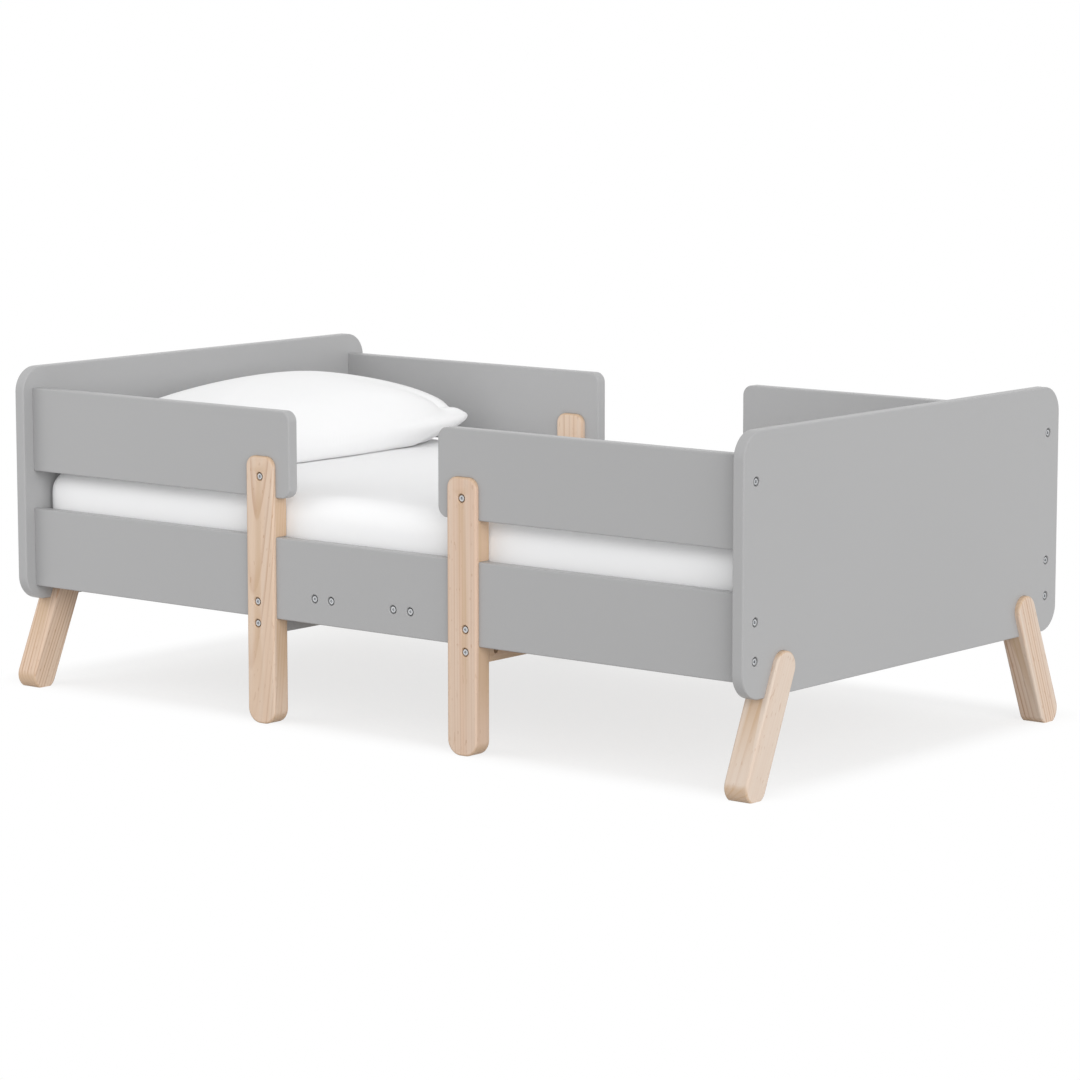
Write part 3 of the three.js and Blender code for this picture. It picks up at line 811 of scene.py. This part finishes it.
def softPiece(piece, node):
    finishPiece(piece, node + "_cover", node, node)
    piece.data.set_sharp_from_angle(angle=math.pi)
    modifier = piece.modifiers.new("Subdivision", "SUBSURF")
    modifier.levels = modifier.render_levels = 1


def makeMattress():
    piece = mattressShell()
    weld(piece)
    setVector(piece, "cloth", pointsOf(piece))
    softPiece(piece, "mattress")


pillow = {
    "reachX": 0.1505, "reachY": 0.336, "thickness": 0.1245, "lowDepth": 0.056, "steps": (60, 116),
    "seamMiddle": 0.034, "seamCorner": 0.044, "pinchX": 0.11, "pinchY": 0.075, "cornerPower": 10.0,
    "upper": {"crown": (0.014, 0.060), "square": 4.1, "fall": 1.7, "round": 1.45, "crisp": 1},
    "lower": {"crown": (0, 0), "square": 2.5, "fall": 6.0, "round": 2.2, "crisp": 0},
    "ear": 0.018, "earClose": 10.0, "softening": 50, "turnUp": 0.003, "fill": 0.8,
    "pressure": 4.0, "swell": 0.005, "frames": 20,
}


def softened(heights):
    # Each pass averages a height with its four neighbours', so that no ridge stays on the diagonals.
    for _ in range(pillow["softening"]):
        wide = np.pad(heights, 1, "edge")
        around = wide[:-2, 1:-1] + wide[2:, 1:-1] + wide[1:-1, :-2] + wide[1:-1, 2:]
        heights = heights / 2 + around / 8
    return heights


def pillowSheet(look, depth, u, v):
    # How far a sheet stands off the seam: depth * (1 - s^fall)^(1/round), where s = (|u|^p + |v|^p)^(1/p) is
    # a rounded square's distance from the crown. Past s = 1 only a thin ear is left, which closes at the rim.
    # A crisp sheet isn't softened near s = 1.
    a, b = (np.abs(w - c * (1 - w ** 2)) for w, c in zip((u, v), look["crown"]))
    s = (a ** look["square"] + b ** look["square"]) ** (1 / look["square"])
    body = (depth - pillow["ear"]) * np.clip(1 - s ** look["fall"], 0, None) ** (1 / look["round"])
    ear = pillow["ear"] * np.sqrt(1 - np.maximum(np.abs(u), np.abs(v)) ** pillow["earClose"])
    return body + (softened(body) - body) * (1 - look["crisp"] * np.minimum(s, 1) ** 8) + ear


def pillowShell():
    # An upper and a lower sheet over one grid, u along the bed and v across it, share their rim. The sides
    # draw in between the corners.
    steps = [np.sin(np.linspace(-1, 1, count + 1) * math.pi / 2) for count in pillow["steps"]]
    u, v = np.meshgrid(*steps, indexing="ij")
    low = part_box("pillow")[0]
    corner = (np.abs(u) * np.abs(v)) ** 3
    seam = pillow["seamMiddle"] + (pillow["seamCorner"] - pillow["seamMiddle"]) * corner
    above = pillowSheet(pillow["upper"], pillow["thickness"] - pillow["seamMiddle"], u, v)
    below = pillowSheet(pillow["lower"], pillow["lowDepth"], u, v)
    power = pillow["cornerPower"]
    rounded = np.maximum(np.abs(u), np.abs(v)) / np.maximum(
        (np.abs(u) ** power + np.abs(v) ** power) ** (1 / power), 1e-9)
    x = low.x + pillow["reachX"] * (1 + rounded * u * (1 - pillow["pinchX"] * (1 - v ** 2)))
    y = pillow["reachY"] * rounded * v * (1 - pillow["pinchY"] * (1 - u ** 2))
    top = np.stack([x, y, low.z + seam + above], -1)
    bottom = np.stack([x, y, low.z + seam - below], -1)
    rim = (np.abs(u) == 1) | (np.abs(v) == 1)
    topIndex = np.arange(u.size).reshape(u.shape)
    bottomIndex = topIndex.copy()
    bottomIndex[~rim] = u.size + np.arange(np.count_nonzero(~rim))
    points = np.concatenate([top.reshape(-1, 3), bottom[~rim]])
    faces = np.concatenate([gridFaces(topIndex, False), gridFaces(bottomIndex, False)[:, ::-1]])
    piece = newPiece("pillowCushion", points, faces.tolist())
    setVector(piece, "cloth", points)
    return piece


def inflate(piece):
    # The cover is blown up as cloth, and no point may move further than the swell.
    before = pointsOf(piece)
    cloth = piece.modifiers.new("Cloth", "CLOTH")
    settings = cloth.settings
    settings.quality = 6
    settings.mass = 0.3
    settings.use_pressure = True
    settings.uniform_pressure_force = pillow["pressure"]
    settings.tension_stiffness = settings.compression_stiffness = 20
    settings.shear_stiffness = 10
    settings.bending_stiffness = 2
    settings.effector_weights.gravity = 0
    cloth.collision_settings.use_collision = False
    cloth.point_cache.frame_start, cloth.point_cache.frame_end = 1, pillow["frames"]
    for number in range(1, pillow["frames"] + 1):
        scene.frame_set(number)
    keepShape(piece)
    scene.frame_set(1)
    moved = pointsOf(piece) - before
    far = np.linalg.norm(moved, axis=1)
    cap = pillow["swell"] * np.tanh(far / pillow["swell"]) / np.maximum(far, 1e-9)
    print(piece.name, "swelled by", round(float(far.max()), 4), "before the cap")
    return before + moved * cap[:, None]


def makePillow():
    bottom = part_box("pillow")[0].z
    piece = pillowShell()
    points = pointsOf(piece)
    points = inflate(piece)
    soft = pillow["turnUp"]  # how gently the underside turns up from the mattress, where it lies flat
    points[:, 2] = bottom + soft * np.logaddexp(0, (points[:, 2] - bottom) / soft)
    setPoints(piece, points)
    softPiece(piece, "pillow")


makeMattress()
makePillow()
print("mattress and pillow made")


# Floor, light and camera

studio = {
    "sky": 0.75, "sun": {"strength": 2.10, "from": (0.84, -0.50, 0.21), "angle": 50.0},
    "floorBounce": (0.62, 0.62, 0.62, 1), "floorSeen": (0.97, 0.97, 0.97, 1), "floorReach": 60.0,
    "shadow": {"middle": (-0.03, 0.04, 0), "reach": (0.67, 0.35, 1), "soft": 0.10, "fill": 0.735},
    "lamp": {"place": (-2.6, -3.0, 2.4), "aim": (-0.1, 0.0, 0.25), "size": (3.0, 2.0), "watts": 28.5},
}


def makeFloor():
    # A pale floor. Seen by the camera it is mixed with plain white: partly under the bed, where it keeps
    # the bed's shadow, and wholly from a soft distance outside the shadow's reach.
    far = studio["floorReach"]
    corners = np.array([[-far, -far, 0], [far, -far, 0], [far, far, 0], [-far, far, 0]])
    floor = newPiece("studioFloor", corners, [[0, 1, 2, 3]])
    material, shader, place = newFinish("studioFloor", {"Roughness": 1.0, "Specular IOR Level": 0.0})
    seen = place.seen()
    seen.mix(studio["floorBounce"], studio["floorSeen"]).feed(shader, "Base Color")
    shadow = studio["shadow"]
    offset = place.vector("SUBTRACT", shadow["middle"]).vector("ABSOLUTE")
    outside = offset.vector("SUBTRACT", shadow["reach"]).vector("MAXIMUM", (0, 0, 0)).length()
    whiteness = outside.between(0.0, shadow["soft"]) * (1 - shadow["fill"]) + shadow["fill"]
    white = place.node("ShaderNodeEmission", {}, {})
    dull = Wire(material.node_tree, shader.outputs[0])
    blend = place.node("ShaderNodeMixShader", {}, {0: seen * whiteness, 1: dull, 2: white})
    blend.feed(material.node_tree.nodes["Material Output"], "Surface")
    floor.data.materials.append(material)


def addLamp(light, place, direction):
    lamp = bpy.data.objects.new(light.name, light)
    lamp.location = place
    lamp.rotation_euler = direction.to_track_quat("-Z", "Y").to_euler()
    lamp.visible_camera = lamp.visible_glossy = False
    scene.collection.objects.link(lamp)


def makeLight():
    # An even sky that the camera sees as white, a wide low sun and a soft lamp in front
    world = bpy.data.worlds.new("studioSky")
    scene.world = world
    world.use_nodes = True
    sky = world.node_tree.nodes["Background"]
    sky.inputs["Color"].default_value = (1, 1, 1, 1)
    seen = Wire(world.node_tree, sky.outputs[0]).seen()
    (seen * (1 - studio["sky"]) + studio["sky"]).feed(sky, "Strength")

    sun = bpy.data.lights.new("softSun", "SUN")
    sun.energy = studio["sun"]["strength"]
    sun.angle = math.radians(studio["sun"]["angle"])
    addLamp(sun, (0, 0, 3), -Vector(studio["sun"]["from"]))

    look = studio["lamp"]
    panel = bpy.data.lights.new("frontLamp", "AREA")
    panel.shape = "RECTANGLE"
    panel.size, panel.size_y = look["size"]
    panel.energy = look["watts"]
    addLamp(panel, look["place"], Vector(look["aim"]) - Vector(look["place"]))


camera = {"place": (3.6557, -4.4570, 1.0748), "turn": 39.142, "tilt": 8.178, "lens": 129.94}


def makeCamera():
    data = bpy.data.cameras.new("camera")
    data.lens = camera["lens"]
    data.clip_end = 200
    view = bpy.data.objects.new("camera", data)
    view.location = camera["place"]
    view.rotation_euler = (math.radians(90 - camera["tilt"]), 0, math.radians(camera["turn"]))
    scene.collection.objects.link(view)
    scene.camera = view


makeFloor()
makeLight()
makeCamera()
scene.view_settings.view_transform = "Standard"
print("floor, light and camera made")
